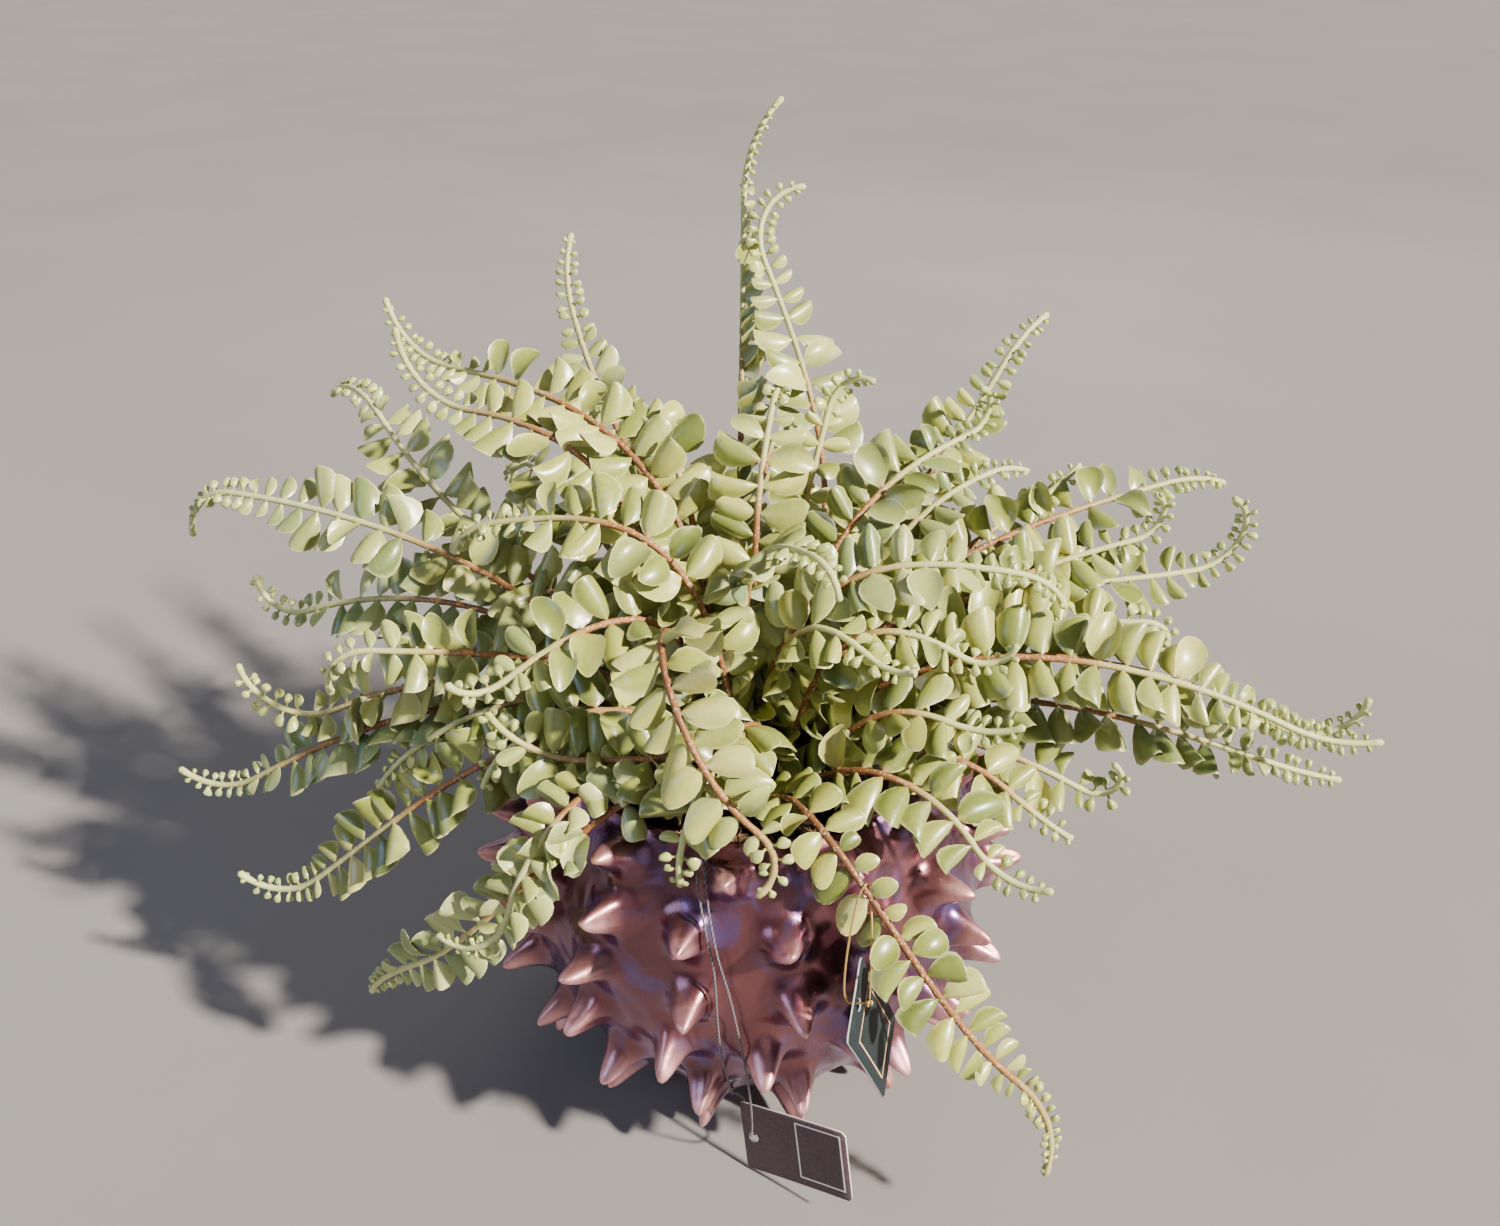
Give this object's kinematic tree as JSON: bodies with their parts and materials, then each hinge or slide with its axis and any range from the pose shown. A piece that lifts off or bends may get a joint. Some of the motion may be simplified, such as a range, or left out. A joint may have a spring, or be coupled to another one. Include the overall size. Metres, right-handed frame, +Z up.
{
  "type": "potted fern",
  "caption": "Fern with arching fronds of paired round leaflets, in a round spiked metallic pot filled with soil, with two blank hanging tags.",
  "frame": {"origin": "centre of the flat foot of the pot, on the surface it stands on", "axes": "+Z up; +X along the widest spread of the fronds, to the right of a viewer who faces the tags; +Y away from that viewer"},
  "size_m": [0.5951, 0.3864, 0.4527],
  "materials": {
    "pot_glaze": "metallic lustre glaze, rose copper with a violet sheen",
    "soil": "loose brown fibres and bark bits",
    "leaf": "pale green leaflets on orange-brown ribs, soft sheen",
    "tag_card": "charcoal card, smooth",
    "tag_string": "grey twisted string",
    "gold_cord": "gold elastic cord with metallic thread"
  },
  "bodies": {
    "root": {"pot": "pot_glaze", "soil": "soil", "front_tag": "tag_card", "side_tag": "tag_card", "front_tag_cord": "tag_string", "side_tag_cord": "gold_cord", "side_tag_knot": "gold_cord", "frond_back_tall": "leaf", "frond_back_hook": "leaf", "frond_back_left": "leaf", "frond_right_tall": "leaf", "frond_centre_up": "leaf", "frond_left_rear_a": "leaf", "frond_left_rear_b": "leaf", "frond_left_rear_c": "leaf", "frond_left_long": "leaf", "frond_left_low": "leaf", "frond_left_up": "leaf", "frond_left_wave": "leaf", "frond_left_tip": "leaf", "frond_front_left_long": "leaf", "frond_front_left_mid": "leaf", "frond_front_left_short": "leaf", "frond_front_low_left": "leaf", "frond_front_low_hook": "leaf", "frond_front_cross": "leaf", "frond_front_centre": "leaf", "frond_front_right_long": "leaf", "frond_front_right_a": "leaf", "frond_front_right_b": "leaf", "frond_front_right_hook": "leaf", "frond_right_low": "leaf", "frond_right_long": "leaf", "frond_right_mid": "leaf", "frond_right_centre": "leaf", "frond_right_curl": "leaf", "frond_right_curl_b": "leaf", "frond_right_rear": "leaf", "frond_rear_right_a": "leaf", "frond_rear_right_b": "leaf", "frond_rear_right_c": "leaf", "frond_crown_back": "leaf", "frond_crown_front_left": "leaf", "frond_crown_right": "leaf", "frond_crown_right_up": "leaf", "frond_crown_left": "leaf", "frond_crown_top": "leaf", "frond_crown_centre": "leaf", "frond_crown_front": "leaf", "frond_front_short": "leaf", "frond_front_fan": "leaf", "frond_rear_low_a": "leaf", "frond_rear_low_b": "leaf", "frond_rear_low_c": "leaf", "frond_rear_low_d": "leaf", "frond_rear_drop_a": "leaf", "frond_rear_drop_b": "leaf", "frond_rear_fill": "leaf", "frond_rear_drop_c": "leaf", "frond_rear_drop_d": "leaf"}
  },
  "joints": []
}
